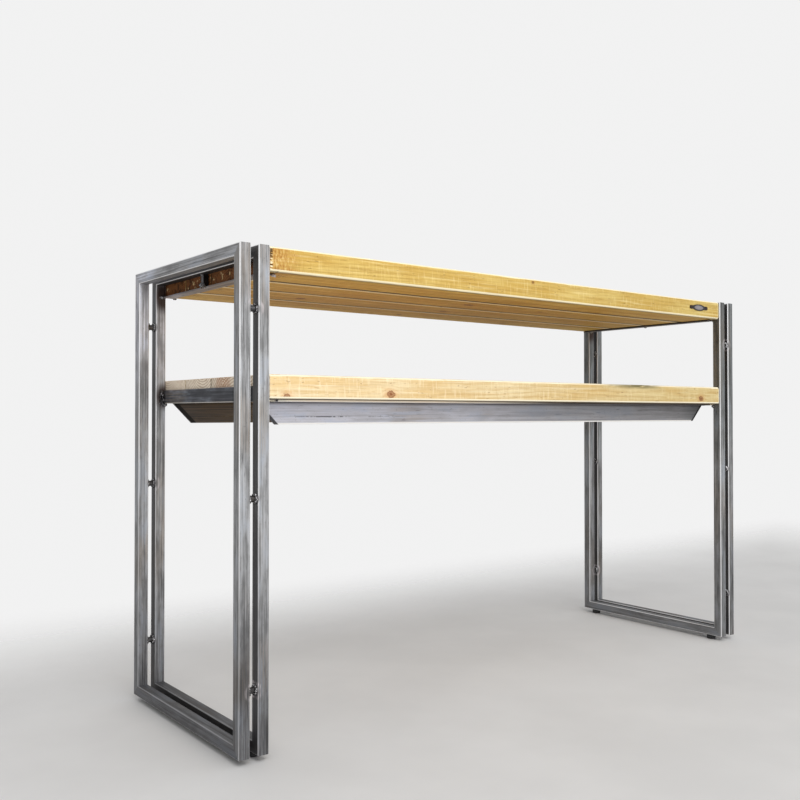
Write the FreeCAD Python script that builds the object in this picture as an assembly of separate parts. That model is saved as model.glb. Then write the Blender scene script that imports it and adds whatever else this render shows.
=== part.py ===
"""Console table: paired end frames of square steel tube carry a plank top and a plank shelf.

The origin is the centre of the footprint on the floor. +X runs along the table, +Y points to
its back and +Z points up. All sizes are in millimetres.
"""
import FreeCAD
import Part
import os

# Overall sizes, over the frames and down to the floor.
LENGTH = 1315.0
DEPTH = 420.0
HEIGHT = 800.0

# Square tube of the end frames. Each end has an outer and an inner frame with a gap between.
TUBE = 20.0
TUBE_WALL = 1.5
TUBE_CORNER = 2.5
FRAME_GAP = 13.0

# Round spacers welded into the gap between the two frames of an end.
SPACER_DIAMETER = 10.0
SPACER_CHAMFER = 0.8
SPACER_INSET = 100.0

# Planks, which run the full length between the inner frames.
PLANK_COUNT = 4
PLANK_THICKNESS = 40.0
PLANK_GAP = 0.5
PLANK_SETBACK = 2.0
PLANK_END_GAP = 1.2
OUTER_ARRIS = 4.0
SEAM_ARRIS = 2.0
TOP_DROP = 0.5

# Flat bars under the ends of the top, each hung from its frame by a short square strut.
BEARER_WIDTH = 20.0
BEARER_THICKNESS = 3.0
BEARER_LAP = 4.0
STRUT_SIZE = 10.0
STRUT_BEHIND_MIDDLE = 12.0

# Shelf: height of its underside, and the small angles under its ends.
SHELF_UNDERSIDE = 559.0
ANGLE_LEG = 25.0
ANGLE_THICKNESS = 3.0

# Larger angles that run the length of the shelf near its front and rear edges.
RAIL_LEG = 40.0
RAIL_THICKNESS = 3.0
RAIL_SETBACK = 50.0
RAIL_END_GAP = 0.5

# Countersunk wood screws, driven upwards into the planks with their heads flush.
SCREW_DIAMETER = 4.5
SCREW_HOLE_CLEARANCE = 0.5
SCREW_HEAD_DIAMETER = 8.5
SCREW_HEAD_HEIGHT = 2.3
SCREW_RIM = 0.3
SINK_CLEARANCE = 0.1
SCREW_LENGTH = 30.0
SCREW_TIP = 4.0
SCREW_EDGE = 24.0
ANGLE_SCREW_LINE = 12.0
RAIL_SCREW_LINE = 18.0
RAIL_SCREW_COUNT = 4
RAIL_SCREW_END = 160.0

# Levelling feet: a pad moulded on a threaded stud, which turns in an insert in the bottom rail.
FOOT_HEIGHT = 10.0
FOOT_DIAMETER = 20.0
FOOT_EDGE_ROUND = 1.5
FOOT_SEAT_GAP = 0.3
FOOT_INSET = 34.0
STUD_DIAMETER = 8.0
STUD_IN_PAD = 6.0
STUD_ABOVE_PAD = 16.0
STUD_CHAMFER = 0.8
INSERT_DIAMETER = 11.0
INSERT_LENGTH = 12.0
THREAD_CLEARANCE = 0.05

# Blank plate pinned to the front edge of the top, near its right end: an oval with an ear each side.
PLATE_WIDTH = 68.0
PLATE_HEIGHT = 14.5
PLATE_OVAL_WIDTH = 47.0
PLATE_THICKNESS = 1.2
EAR_HEIGHT = 8.0
EAR_END_FLAT = 0.1
PLATE_FROM_END = 80.5
PLATE_ABOVE_MIDDLE = 2.0
PIN_SPACING = 58.0
PIN_DIAMETER = 3.0
PIN_HEAD_DIAMETER = 4.6
PIN_HEAD_HEIGHT = 0.7
PIN_DEPTH = 10.0

SIDES = {"left": -1.0, "right": 1.0}
ENDS = {"front": -1.0, "rear": 1.0}
PLANK_PLACES = ["front", "mid_front", "mid_rear", "rear"]

HALF_LENGTH = LENGTH / 2.0
HALF_DEPTH = DEPTH / 2.0
END_UNIT = 2.0 * TUBE + FRAME_GAP
INNER_FACE = HALF_LENGTH - END_UNIT
PLANK_HALF_LENGTH = INNER_FACE - PLANK_END_GAP
TOP_SURFACE = HEIGHT - TOP_DROP
TOP_UNDERSIDE = TOP_SURFACE - PLANK_THICKNESS
WOOD_FRONT = -HALF_DEPTH + PLANK_SETBACK
ANGLE_SEAT = SHELF_UNDERSIDE - ANGLE_THICKNESS
BEARER_SEAT = TOP_UNDERSIDE - BEARER_THICKNESS
UP = FreeCAD.Vector(0, 0, 1)
ALONG = FreeCAD.Vector(1, 0, 0)
BACKWARD = FreeCAD.Vector(0, 1, 0)

# Tolerances for picking edges out of a solid.
SAME_DIRECTION = 0.999
SAME_PLACE = 0.01


def box_between(low, high):
    """Block between two opposite corners, given in any order."""
    start = FreeCAD.Vector(*[min(a, b) for a, b in zip(low, high)])
    size = [abs(b - a) for a, b in zip(low, high)]
    return Part.makeBox(size[0], size[1], size[2], start)


def prism(points, travel):
    """Solid swept from a flat outline of points along a straight travel."""
    outline = Part.makePolygon([FreeCAD.Vector(*p) for p in points + points[:1]])
    return Part.Face(outline).extrude(FreeCAD.Vector(*travel))


def long_edges(solid, direction):
    """Straight edges of a solid that run along a direction."""
    found = []
    for edge in solid.Edges:
        run = edge.Vertexes[-1].Point - edge.Vertexes[0].Point
        if run.Length > 0 and abs(run.dot(direction)) > SAME_DIRECTION * run.Length:
            found.append(edge)
    return found


def rims(solid, level=None):
    """Closed edges of a round solid: all of them, or only those at one height."""
    closed = [edge for edge in solid.Edges if edge.Closed]
    if level is None:
        return closed
    return [edge for edge in closed if abs(edge.Vertexes[0].Z - level) < SAME_PLACE]


def mirrored_in_x(solid, side):
    """The solid itself on the right side, or its mirror image on the left side."""
    if side > 0:
        return solid
    return solid.mirror(FreeCAD.Vector(0, 0, 0), ALONG)


def mirrored_in_y(solid, end):
    """The solid itself at the rear, or its mirror image at the front."""
    if end > 0:
        return solid
    return solid.mirror(FreeCAD.Vector(0, 0, 0), BACKWARD)


def tube_blank(low, high, direction):
    """Square tube with rounded corners that fills the block between two corners."""
    outer = box_between(low, high)
    outer = outer.makeFillet(TUBE_CORNER, long_edges(outer, direction))
    walls = [TUBE_WALL * (1.0 - abs(part)) for part in direction]
    inner_low = [a + wall for a, wall in zip(low, walls)]
    inner_high = [b - wall for b, wall in zip(high, walls)]
    inner = box_between(inner_low, inner_high)
    inner = inner.makeFillet(TUBE_CORNER - TUBE_WALL, long_edges(inner, direction))
    return outer.cut(inner)


def frame_x(side, layer):
    """Lowest and highest X of an outer or inner frame, on the side given by its sign."""
    outward = HALF_LENGTH if layer == "outer" else INNER_FACE + TUBE
    return sorted([side * outward, side * (outward - TUBE)])


def frame_post(side, layer, end):
    """Upright of one frame, mitred at both ends."""
    low_x, high_x = frame_x(side, layer)
    face = end * HALF_DEPTH
    inside = end * (HALF_DEPTH - TUBE)
    low_y, high_y = sorted([face, inside])
    blank = tube_blank((low_x, low_y, FOOT_HEIGHT), (high_x, high_y, HEIGHT), UP)
    outline = [(low_x, face, FOOT_HEIGHT), (low_x, face, HEIGHT)]
    outline += [(low_x, inside, HEIGHT - TUBE), (low_x, inside, FOOT_HEIGHT + TUBE)]
    return blank.common(prism(outline, (TUBE, 0, 0)))


def frame_rail(side, layer, level):
    """Top or bottom member of one frame, mitred at both ends."""
    low_x, high_x = frame_x(side, layer)
    top = level == "top"
    face = HEIGHT if top else FOOT_HEIGHT
    inside = HEIGHT - TUBE if top else FOOT_HEIGHT + TUBE
    low_z, high_z = sorted([face, inside])
    blank = tube_blank((low_x, -HALF_DEPTH, low_z), (high_x, HALF_DEPTH, high_z), BACKWARD)
    reach = HALF_DEPTH - TUBE
    outline = [(low_x, -HALF_DEPTH, face), (low_x, HALF_DEPTH, face)]
    outline += [(low_x, reach, inside), (low_x, -reach, inside)]
    rail = blank.common(prism(outline, (TUBE, 0, 0)))
    if layer == "inner" and not top:
        for end in ENDS.values():
            rail = rail.cut(foot_cylinder(side, end, INSERT_DIAMETER, FOOT_HEIGHT, TUBE_WALL))
    return rail


def frame_spacers(side, end):
    """Three round spacers that join the two frames of one end at one pair of posts."""
    middle_y = end * (HALF_DEPTH - TUBE / 2.0)
    start_x = min(side * (INNER_FACE + TUBE), side * (INNER_FACE + TUBE + FRAME_GAP))
    levels = [FOOT_HEIGHT + SPACER_INSET, (FOOT_HEIGHT + HEIGHT) / 2.0, HEIGHT - SPACER_INSET]
    spacers = []
    for level in levels:
        centre = FreeCAD.Vector(start_x, middle_y, level)
        rod = Part.makeCylinder(SPACER_DIAMETER / 2.0, FRAME_GAP, centre, ALONG)
        spacers.append(rod.makeChamfer(SPACER_CHAMFER, rims(rod)))
    return Part.makeCompound(spacers)


def plank_edges():
    """Front and rear Y of each plank, from the front of the table to its back."""
    span = DEPTH - 2.0 * PLANK_SETBACK - (PLANK_COUNT - 1) * PLANK_GAP
    width = span / PLANK_COUNT
    starts = [WOOD_FRONT + place * (width + PLANK_GAP) for place in range(PLANK_COUNT)]
    return [(start, start + width) for start in starts]


def plank(place, underside, screw_points):
    """One plank with eased long edges and a pilot hole at each screw that reaches it."""
    front, rear = plank_edges()[place]
    surface = underside + PLANK_THICKNESS
    front_arris = OUTER_ARRIS if place == 0 else SEAM_ARRIS
    rear_arris = OUTER_ARRIS if place == PLANK_COUNT - 1 else SEAM_ARRIS
    start = -PLANK_HALF_LENGTH
    outline = [(start, front + front_arris, underside), (start, front, underside + front_arris)]
    outline += [(start, front, surface - front_arris), (start, front + front_arris, surface)]
    outline += [(start, rear - rear_arris, surface), (start, rear, surface - rear_arris)]
    outline += [(start, rear, underside + rear_arris), (start, rear - rear_arris, underside)]
    body = prism(outline, (2.0 * PLANK_HALF_LENGTH, 0, 0))
    for point in screw_points:
        if front < point.y < rear:
            body = body.cut(screw_shank(point))
    return body


def end_screw_points(line_x, seat):
    """Screw heads' seats under both ends of a board: two screws in each plank's end."""
    points = []
    for side in SIDES.values():
        for front, rear in plank_edges():
            for across in (front + SCREW_EDGE, rear - SCREW_EDGE):
                points.append(FreeCAD.Vector(side * line_x, across, seat))
    return points


def bearer_screw_points():
    """Screws up through the two bearers, on the part of the bar that is under the planks."""
    under_planks = BEARER_WIDTH - BEARER_LAP
    return end_screw_points(INNER_FACE - under_planks / 2.0, BEARER_SEAT)


def angle_screw_points():
    """Screws up through the flat legs of the two shelf end angles."""
    return end_screw_points(INNER_FACE - ANGLE_SCREW_LINE, ANGLE_SEAT)


def rail_screw_points():
    """Screws up through the flat legs of the front and rear shelf rails."""
    last = INNER_FACE - RAIL_SCREW_END
    step = 2.0 * last / (RAIL_SCREW_COUNT - 1)
    line_y = HALF_DEPTH - RAIL_SETBACK + RAIL_SCREW_LINE
    seat = SHELF_UNDERSIDE - RAIL_THICKNESS
    points = []
    for end in ENDS.values():
        for number in range(RAIL_SCREW_COUNT):
            points.append(FreeCAD.Vector(-last + number * step, end * line_y, seat))
    return points


def screw_shank(point):
    """Shank of a wood screw from its seat upwards, with a pointed tip."""
    radius = SCREW_DIAMETER / 2.0
    straight = Part.makeCylinder(radius, SCREW_LENGTH - SCREW_TIP, point, UP)
    tip_start = point + UP * (SCREW_LENGTH - SCREW_TIP)
    return straight.fuse(Part.makeCone(radius, 0.0, SCREW_TIP, tip_start, UP)).removeSplitter()


def screw_head(point, growth):
    """Countersunk head from its flush face upwards, a little larger all round by the growth."""
    large = SCREW_HEAD_DIAMETER / 2.0 + growth
    small = SCREW_DIAMETER / 2.0 + growth
    rim = Part.makeCylinder(large, SCREW_RIM, point, UP)
    slope = SCREW_HEAD_HEIGHT - SCREW_RIM
    return rim.fuse(Part.makeCone(large, small, slope, point + UP * SCREW_RIM, UP))


def wood_screw(point):
    """Wood screw with its head flush with the face that it is driven through."""
    return screw_head(point, 0.0).fuse(screw_shank(point)).removeSplitter()


def screws(points):
    """A group of separate wood screws."""
    return Part.makeCompound([wood_screw(point) for point in points])


def drilled(solid, points):
    """The solid with a countersunk clearance hole for each screw that passes through it."""
    limits = solid.BoundBox
    radius = (SCREW_DIAMETER + SCREW_HOLE_CLEARANCE) / 2.0
    for point in points:
        if limits.isInside(point):
            solid = solid.cut(Part.makeCylinder(radius, SCREW_LENGTH, point, UP))
            solid = solid.cut(screw_head(point, SINK_CLEARANCE))
    return solid


def top_bearer(side):
    """Flat bar under one end of the top, between the inner frame's two posts."""
    outward = INNER_FACE + BEARER_LAP
    reach = HALF_DEPTH - TUBE
    bar = box_between(
        (side * outward, -reach, BEARER_SEAT),
        (side * (outward - BEARER_WIDTH), reach, TOP_UNDERSIDE),
    )
    return drilled(bar, bearer_screw_points())


def bearer_strut(side):
    """Short square strut, a little behind the middle, that hangs a bearer from the frame's top rail."""
    front = STRUT_BEHIND_MIDDLE - STRUT_SIZE / 2.0
    return box_between(
        (side * (INNER_FACE + STRUT_SIZE), front, TOP_UNDERSIDE),
        (side * INNER_FACE, front + STRUT_SIZE, HEIGHT - TUBE),
    )


def shelf_angle(side):
    """Small angle under one end of the shelf, its upright leg outside the planks' ends."""
    reach = HALF_DEPTH - TUBE
    outward = INNER_FACE + ANGLE_THICKNESS
    flat = box_between(
        (outward, -reach, ANGLE_SEAT),
        (outward - ANGLE_LEG, reach, SHELF_UNDERSIDE),
    )
    upright = box_between(
        (outward, -reach, ANGLE_SEAT),
        (INNER_FACE, reach, ANGLE_SEAT + ANGLE_LEG),
    )
    angle = mirrored_in_x(flat.fuse(upright).removeSplitter(), side)
    return drilled(angle, angle_screw_points())


def shelf_rail(end):
    """Long angle under the shelf: flat leg outwards, upright leg down and cut off at 45 degrees."""
    flat_end = INNER_FACE + ANGLE_THICKNESS - ANGLE_LEG
    upright_end = INNER_FACE - RAIL_END_GAP
    bottom = SHELF_UNDERSIDE - RAIL_LEG
    inward = HALF_DEPTH - RAIL_SETBACK - RAIL_THICKNESS
    flat = box_between(
        (-flat_end, inward, SHELF_UNDERSIDE - RAIL_THICKNESS),
        (flat_end, inward + RAIL_LEG, SHELF_UNDERSIDE),
    )
    slope = ANGLE_SEAT - bottom
    outline = [(-upright_end, inward, ANGLE_SEAT), (upright_end, inward, ANGLE_SEAT)]
    outline += [(upright_end - slope, inward, bottom), (slope - upright_end, inward, bottom)]
    upright = prism(outline, (0, RAIL_THICKNESS, 0))
    web = box_between(
        (-flat_end, inward, ANGLE_SEAT - RAIL_THICKNESS),
        (flat_end, inward + RAIL_THICKNESS, SHELF_UNDERSIDE),
    )
    rail = flat.fuse([upright, web]).removeSplitter()
    return drilled(mirrored_in_y(rail, end), rail_screw_points())


def foot_centre(side, end):
    """Centre of one foot in plan, under an inner frame's bottom rail."""
    return (side * (INNER_FACE + TUBE / 2.0), end * (HALF_DEPTH - FOOT_INSET))


def foot_cylinder(side, end, diameter, start, length):
    """Upright cylinder on the centre line of one foot."""
    across, along = foot_centre(side, end)
    return Part.makeCylinder(diameter / 2.0, length, FreeCAD.Vector(across, along, start), UP)


def foot_pad(side, end):
    """Round plastic pad with a blind socket that holds the stud."""
    height = FOOT_HEIGHT - FOOT_SEAT_GAP
    pad = foot_cylinder(side, end, FOOT_DIAMETER, 0.0, height)
    pad = pad.makeFillet(FOOT_EDGE_ROUND, rims(pad))
    return pad.cut(foot_cylinder(side, end, STUD_DIAMETER, height - STUD_IN_PAD, STUD_IN_PAD))


def foot_stud(side, end):
    """Threaded stud of one foot, drawn as a plain rod at the thread's outer diameter."""
    start = FOOT_HEIGHT - FOOT_SEAT_GAP - STUD_IN_PAD
    length = STUD_IN_PAD + STUD_ABOVE_PAD
    rod = foot_cylinder(side, end, STUD_DIAMETER, start, length)
    return rod.makeChamfer(STUD_CHAMFER, rims(rod, start + length))


def foot_insert(side, end):
    """Threaded insert set flush into the bottom wall of the tube."""
    bore = STUD_DIAMETER + 2.0 * THREAD_CLEARANCE
    sleeve = foot_cylinder(side, end, INSERT_DIAMETER, FOOT_HEIGHT, INSERT_LENGTH)
    return sleeve.cut(foot_cylinder(side, end, bore, FOOT_HEIGHT, INSERT_LENGTH))


def nameplate_centre():
    """Centre of the plate on the front face of the top."""
    across = PLANK_HALF_LENGTH - PLATE_FROM_END
    middle = TOP_SURFACE - PLANK_THICKNESS / 2.0 + PLATE_ABOVE_MIDDLE
    return (across, middle)


def nameplate():
    """Blank plate: an oval fused to a round-ended bar, whose ends are the ears with the pin holes."""
    across, level = nameplate_centre()
    front = WOOD_FRONT - PLATE_THICKNESS
    bar = box_between(
        (across - PLATE_WIDTH / 2.0, front, level - EAR_HEIGHT / 2.0),
        (across + PLATE_WIDTH / 2.0, WOOD_FRONT, level + EAR_HEIGHT / 2.0),
    )
    bar = bar.makeFillet((EAR_HEIGHT - EAR_END_FLAT) / 2.0, long_edges(bar, BACKWARD))
    centre = FreeCAD.Vector(across, front, level)
    end = centre + ALONG * (PLATE_OVAL_WIDTH / 2.0)
    crown = centre + UP * (PLATE_HEIGHT / 2.0)
    rim = Part.Wire([Part.Ellipse(end, crown, centre).toShape()])
    oval = Part.Face(rim).extrude(BACKWARD * PLATE_THICKNESS)
    plate = bar.fuse(oval).removeSplitter()
    for pin in pin_points():
        plate = plate.cut(Part.makeCylinder(PIN_DIAMETER / 2.0, PLATE_THICKNESS, pin, BACKWARD))
    return plate


def pin_points():
    """Front centre points of the two pins' shanks, level with the plate's front face."""
    across, level = nameplate_centre()
    front = WOOD_FRONT - PLATE_THICKNESS
    places = [across - PIN_SPACING / 2.0, across + PIN_SPACING / 2.0]
    return [FreeCAD.Vector(place, front, level) for place in places]


def pin_shank(point):
    """Shank of one pin, from the plate's front face into the wood."""
    return Part.makeCylinder(PIN_DIAMETER / 2.0, PLATE_THICKNESS + PIN_DEPTH, point, BACKWARD)


def nameplate_pins():
    """Two pins with low round heads."""
    pins = []
    for point in pin_points():
        start = point - BACKWARD * PIN_HEAD_HEIGHT
        small = PIN_DIAMETER / 2.0
        large = PIN_HEAD_DIAMETER / 2.0
        head = Part.makeCone(small, large, PIN_HEAD_HEIGHT, start, BACKWARD)
        pins.append(head.fuse(pin_shank(point)).removeSplitter())
    return Part.makeCompound(pins)


def frame_parts():
    """Tubes and spacers of the two end units."""
    parts = {}
    for side_name, side in SIDES.items():
        for layer in ("outer", "inner"):
            for end_name, end in ENDS.items():
                parts[f"{side_name}_{layer}_{end_name}_post"] = frame_post(side, layer, end)
            for level in ("top", "bottom"):
                parts[f"{side_name}_{layer}_{level}_rail"] = frame_rail(side, layer, level)
        for end_name, end in ENDS.items():
            parts[f"{side_name}_{end_name}_spacers"] = frame_spacers(side, end)
    return parts


def support_parts():
    """Bars and angles that carry the two boards, and the screws that hold the planks down."""
    parts = {}
    for side_name, side in SIDES.items():
        parts[f"{side_name}_top_bearer"] = top_bearer(side)
        parts[f"{side_name}_bearer_strut"] = bearer_strut(side)
        parts[f"{side_name}_shelf_angle"] = shelf_angle(side)
    for end_name, end in ENDS.items():
        parts[f"{end_name}_shelf_rail"] = shelf_rail(end)
    parts["bearer_screws"] = screws(bearer_screw_points())
    parts["shelf_angle_screws"] = screws(angle_screw_points())
    parts["shelf_rail_screws"] = screws(rail_screw_points())
    return parts


def plank_parts():
    """Planks of the top and of the shelf, with the plate on the top's front plank."""
    parts = {}
    shelf_points = angle_screw_points() + rail_screw_points()
    for place, name in enumerate(PLANK_PLACES):
        parts[f"top_plank_{name}"] = plank(place, TOP_UNDERSIDE, bearer_screw_points())
        parts[f"shelf_plank_{name}"] = plank(place, SHELF_UNDERSIDE, shelf_points)
    for pin in pin_points():
        parts["top_plank_front"] = parts["top_plank_front"].cut(pin_shank(pin))
    parts["nameplate"] = nameplate()
    parts["nameplate_pins"] = nameplate_pins()
    return parts


def foot_parts():
    """Pad and stud of each levelling foot, and the inserts that the studs turn in."""
    parts = {}
    inserts = []
    for side_name, side in SIDES.items():
        for end_name, end in ENDS.items():
            parts[f"{side_name}_{end_name}_foot_pad"] = foot_pad(side, end)
            parts[f"{side_name}_{end_name}_foot_stud"] = foot_stud(side, end)
            inserts.append(foot_insert(side, end))
    parts["foot_inserts"] = Part.makeCompound(inserts)
    return parts


def main():
    """Build every part and write one file for each."""
    os.makedirs("parts", exist_ok=True)
    table = {}
    for group in (frame_parts(), support_parts(), plank_parts(), foot_parts()):
        table.update(group)
    for name, shape in table.items():
        shape.exportStep(f"parts/{name}.step")
    print(len(table), "parts written")


main()
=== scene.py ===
"""Console table: raw steel end frames with thick lacquered pine planks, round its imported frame."""

import math
import random

import bmesh
import bpy
from mathutils import Matrix, Vector, noise


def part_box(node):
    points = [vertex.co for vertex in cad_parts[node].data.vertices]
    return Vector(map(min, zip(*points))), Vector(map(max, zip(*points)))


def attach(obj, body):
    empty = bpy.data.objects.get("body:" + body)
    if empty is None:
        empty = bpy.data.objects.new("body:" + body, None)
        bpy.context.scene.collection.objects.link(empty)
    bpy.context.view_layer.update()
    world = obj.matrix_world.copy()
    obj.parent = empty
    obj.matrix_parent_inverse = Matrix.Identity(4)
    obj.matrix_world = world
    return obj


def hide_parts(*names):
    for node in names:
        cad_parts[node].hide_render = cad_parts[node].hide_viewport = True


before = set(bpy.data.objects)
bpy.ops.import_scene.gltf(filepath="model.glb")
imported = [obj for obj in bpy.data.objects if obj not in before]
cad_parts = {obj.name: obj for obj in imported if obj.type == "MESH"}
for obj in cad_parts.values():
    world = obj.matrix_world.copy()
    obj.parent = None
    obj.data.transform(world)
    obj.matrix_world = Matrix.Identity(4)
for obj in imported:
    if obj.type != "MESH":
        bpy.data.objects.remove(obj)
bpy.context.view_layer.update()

SIDES = ("left", "right")
ENDS = ("front", "rear")
LAYERS = ("front", "mid_front", "mid_rear", "rear")
OUTER_ARRIS = 0.004
SEAM_ARRIS = 0.002
SCREW_LINE = 0.4445
SCREW_FROM_EDGE = 0.024
THREAD_PITCH = 0.00125
SCREW_PITCH = 0.0018
SCREW_LENGTH = 0.0285
SCRATCH_HEIGHT = 0.5318
HEART_RINGS = 0.0045
KNOT_RINGS = 0.0017
SCORCH_LEFT = 0.571
SMUDGE_RIGHT = 0.285
EYE_PLACE = (-1.3116, -1.4642, 0.5377)
EYE_TURN = (90.821, 0.0, -37.506)
EYE_LENS = 41.186
KEY_PLACE = (-0.9, -2.2, 2.3)
KEY_AIM = (0.05, 0, 0.45)
KEY_POWER = 26
BACKDROP = 0.885
BLACK = (0.015, 0.014, 0.014)
NO_HEART = (1.0, 1.0, 0.02)
# BRIGHT: the flange edge's bare metal with its painted highlight.
BRIGHT = (1.0, 0.95, 0.84)
ALONG = Vector((1, 0, 0))


# --- how a finish is written -------------------------------------------------


class Wire:
    """One value on its way through a finish; arithmetic on it adds Math nodes."""

    def __init__(self, finish, socket):
        self.finish = finish
        self.socket = socket

    def maths(self, operation, *values):
        return self.finish.node("ShaderNodeMath", {"operation": operation}, dict(enumerate(values)))

    def __add__(self, other):
        return self.maths("ADD", self, other)

    def __radd__(self, other):
        return self.maths("ADD", other, self)

    def __sub__(self, other):
        return self.maths("SUBTRACT", self, other)

    def __rsub__(self, other):
        return self.maths("SUBTRACT", other, self)

    def __mul__(self, other):
        return self.maths("MULTIPLY", self, other)

    def __rmul__(self, other):
        return self.maths("MULTIPLY", other, self)

    def __truediv__(self, other):
        return self.maths("DIVIDE", self, other)

    def __pow__(self, other):
        return self.maths("POWER", self, other)

    def __abs__(self):
        return self.maths("ABSOLUTE", self)

    def at_most(self, other):
        return self.maths("MINIMUM", self, other)

    def at_least(self, other):
        return self.maths("MAXIMUM", self, other)

    def wave(self):
        return self.maths("SINE", self)

    def part(self):
        return self.maths("FRACT", self)

    def rise(self, low, high):
        """0 below low, 1 above high, and a smooth rise between; low may be above high for a fall."""
        settings = {"interpolation_type": "SMOOTHSTEP"}
        if low > high:
            return 1 - self.rise(high, low)
        values = {"Value": self, "From Min": low, "From Max": high}
        return self.finish.node("ShaderNodeMapRange", settings, values)

    def near(self, level, reach):
        """1 at a level, falling smoothly to 0 at reach on either side of it."""
        return abs(self - level).rise(reach, 0.0)


class Finish:
    """One material: a shader whose plain numbers are set on it, and wires fed to what varies."""

    def __init__(self, name, **numbers):
        self.material = bpy.data.materials.new(name)
        self.material.use_nodes = True
        self.tree = self.material.node_tree
        self.tree.nodes.clear()
        self.shader = self.tree.nodes.new("ShaderNodeBsdfPrincipled")
        output = self.tree.nodes.new("ShaderNodeOutputMaterial")
        self.tree.links.new(self.shader.outputs[0], output.inputs["Surface"])
        for name, value in numbers.items():
            self.shader.inputs[name.replace("_", " ")].default_value = value
        self.place = self.node("ShaderNodeTexCoord", out="Object")
        self.x, self.y, self.z = self.split(self.place)

    def node(self, kind, settings=None, values=None, out=0):
        """Any node: its own settings first, then the values or wires of its sockets."""
        made = self.tree.nodes.new(kind)
        for key, value in (settings or {}).items():
            if key == "stops":
                self.set_stops(made.color_ramp, value)
            else:
                setattr(made, key, value)
        for key, value in (values or {}).items():
            self.feed(made.inputs[key], value)
        return Wire(self, made.outputs[out])

    def set_stops(self, ramp, stops):
        while len(ramp.elements) < len(stops):
            ramp.elements.new(1.0)
        for element, (place, colour) in zip(ramp.elements, stops):
            element.position = place
            element.color = (*colour, 1.0)

    def feed(self, socket, value):
        if isinstance(value, Wire):
            self.tree.links.new(value.socket, socket)
        elif hasattr(value, "__len__") and len(value) == 3 and socket.type == "RGBA":
            socket.default_value = (*value, 1.0)
        else:
            socket.default_value = value

    def split(self, vector):
        apart = self.node("ShaderNodeSeparateXYZ", None, {0: vector})
        return [Wire(self, apart.socket.node.outputs[i]) for i in range(3)]

    def join(self, x, y, z):
        return self.node("ShaderNodeCombineXYZ", None, {0: x, 1: y, 2: z})

    def scaled(self, vector, factors):
        return self.node("ShaderNodeVectorMath", {"operation": "MULTIPLY"}, {0: vector, 1: factors})

    def shifted(self, vector, offsets):
        return self.node("ShaderNodeVectorMath", {"operation": "ADD"}, {0: vector, 1: offsets})

    def cloud(self, vector, scale=1.0, detail=3.0, rough=0.5, out=0):
        """Soft noise about one half."""
        values = {"Vector": vector, "Scale": scale, "Detail": detail, "Roughness": rough}
        return self.node("ShaderNodeTexNoise", None, values, out)

    def blend(self, share, first, second, how="MIX"):
        """Two colours mixed by share."""
        settings = {"data_type": "RGBA", "blend_type": how}
        return self.node("ShaderNodeMix", settings, {0: share, 6: first, 7: second}, 2)

    def coats(self, colour, *layers):
        """A colour with one coat after another laid over it, each by its own share."""
        for share, tone in layers:
            colour = self.blend(share, colour, tone)
        return colour

    def tinted(self, colour, tone, share=1.0):
        """A colour multiplied by a tone."""
        return self.blend(share, colour, tone, "MULTIPLY")

    def ramp(self, value, stops):
        return self.node("ShaderNodeValToRGB", {"stops": stops}, {0: value})

    def roundness(self):
        """How far the surface turns from square: 0 on flats, 1 on a rounded corner."""
        across, along, up = [abs(way) for way in self.facing()]
        return across.at_least(along).at_least(up).rise(0.995, 0.86)

    def facing(self):
        """The surface's direction as three wires."""
        return self.split(self.node("ShaderNodeTexCoord", out="Normal"))

    def finish(self, colour, rough, relief=None, depth=0.0002, strength=1.0, metal=None):
        self.feed(self.shader.inputs["Base Color"], colour)
        self.feed(self.shader.inputs["Roughness"], rough)
        if metal is not None:
            self.feed(self.shader.inputs["Metallic"], metal)
        if relief is not None:
            values = {"Height": relief, "Distance": depth, "Strength": strength}
            self.feed(self.shader.inputs["Normal"], self.node("ShaderNodeBump", None, values))
        return self.material


# --- steel finishes ----------------------------------------------------------


AXES = {"x": 0, "y": 1, "z": 2}


def drawn_out(finish, axis, scale, share):
    """Places stretched along a member, so that a pattern on them runs with the metal."""
    factors = [scale, scale, scale]
    factors[AXES[axis]] = scale * share
    return finish.scaled(finish.place, factors)


def gap_share(finish):
    """1 on the faces that look into the narrow gap between the two frames of an end, 0 elsewhere."""
    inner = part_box("right_inner_front_post")[1].x
    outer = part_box("right_outer_front_post")[0].x
    away = abs(finish.x)
    return away.rise(inner - 0.0009, inner - 0.0002) * away.rise(outer + 0.0009, outer + 0.0002)


def soot(finish, turned):
    """Burnt steel on the posts' inner faces, where the bearers and the shelf angles are welded to them."""
    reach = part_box("left_top_bearer")[1].y
    inside = abs(finish.y).rise(reach + 0.0015, reach + 0.0006) * abs(turned[1]).rise(0.6, 0.9)
    marks = None
    for node, spread in (("left_top_bearer", 0.03), ("left_shelf_angle", 0.024)):
        low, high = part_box(node)
        aside = abs(finish.x) + low.x
        height = (finish.z - (low.z + high.z) / 2) * 0.75
        mark = (aside * aside + height * height) ** 0.5
        marks = mark / spread if marks is None else marks.at_most(mark / spread)
    return marks.rise(1.0, 0.35) * inside


def weld_halo(finish, levels, uneven):
    """Distance from the spacers' welds, as a dark spot with a pale ring round it."""
    middle = (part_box("right_inner_front_post")[1].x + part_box("right_outer_front_post")[0].x) / 2
    dark = None
    pale = None
    for level in levels:
        aside = abs(finish.x) - middle
        rise = finish.z - level
        away = (aside * aside + rise * rise) ** 0.5 + (uneven - 0.5) * 0.007
        spot = away.rise(0.0105, 0.0075)
        ring = away.near(0.0135, 0.0034)
        dark = spot if dark is None else dark.at_least(spot)
        pale = ring if pale is None else pale.at_least(ring)
    return dark, pale


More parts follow.
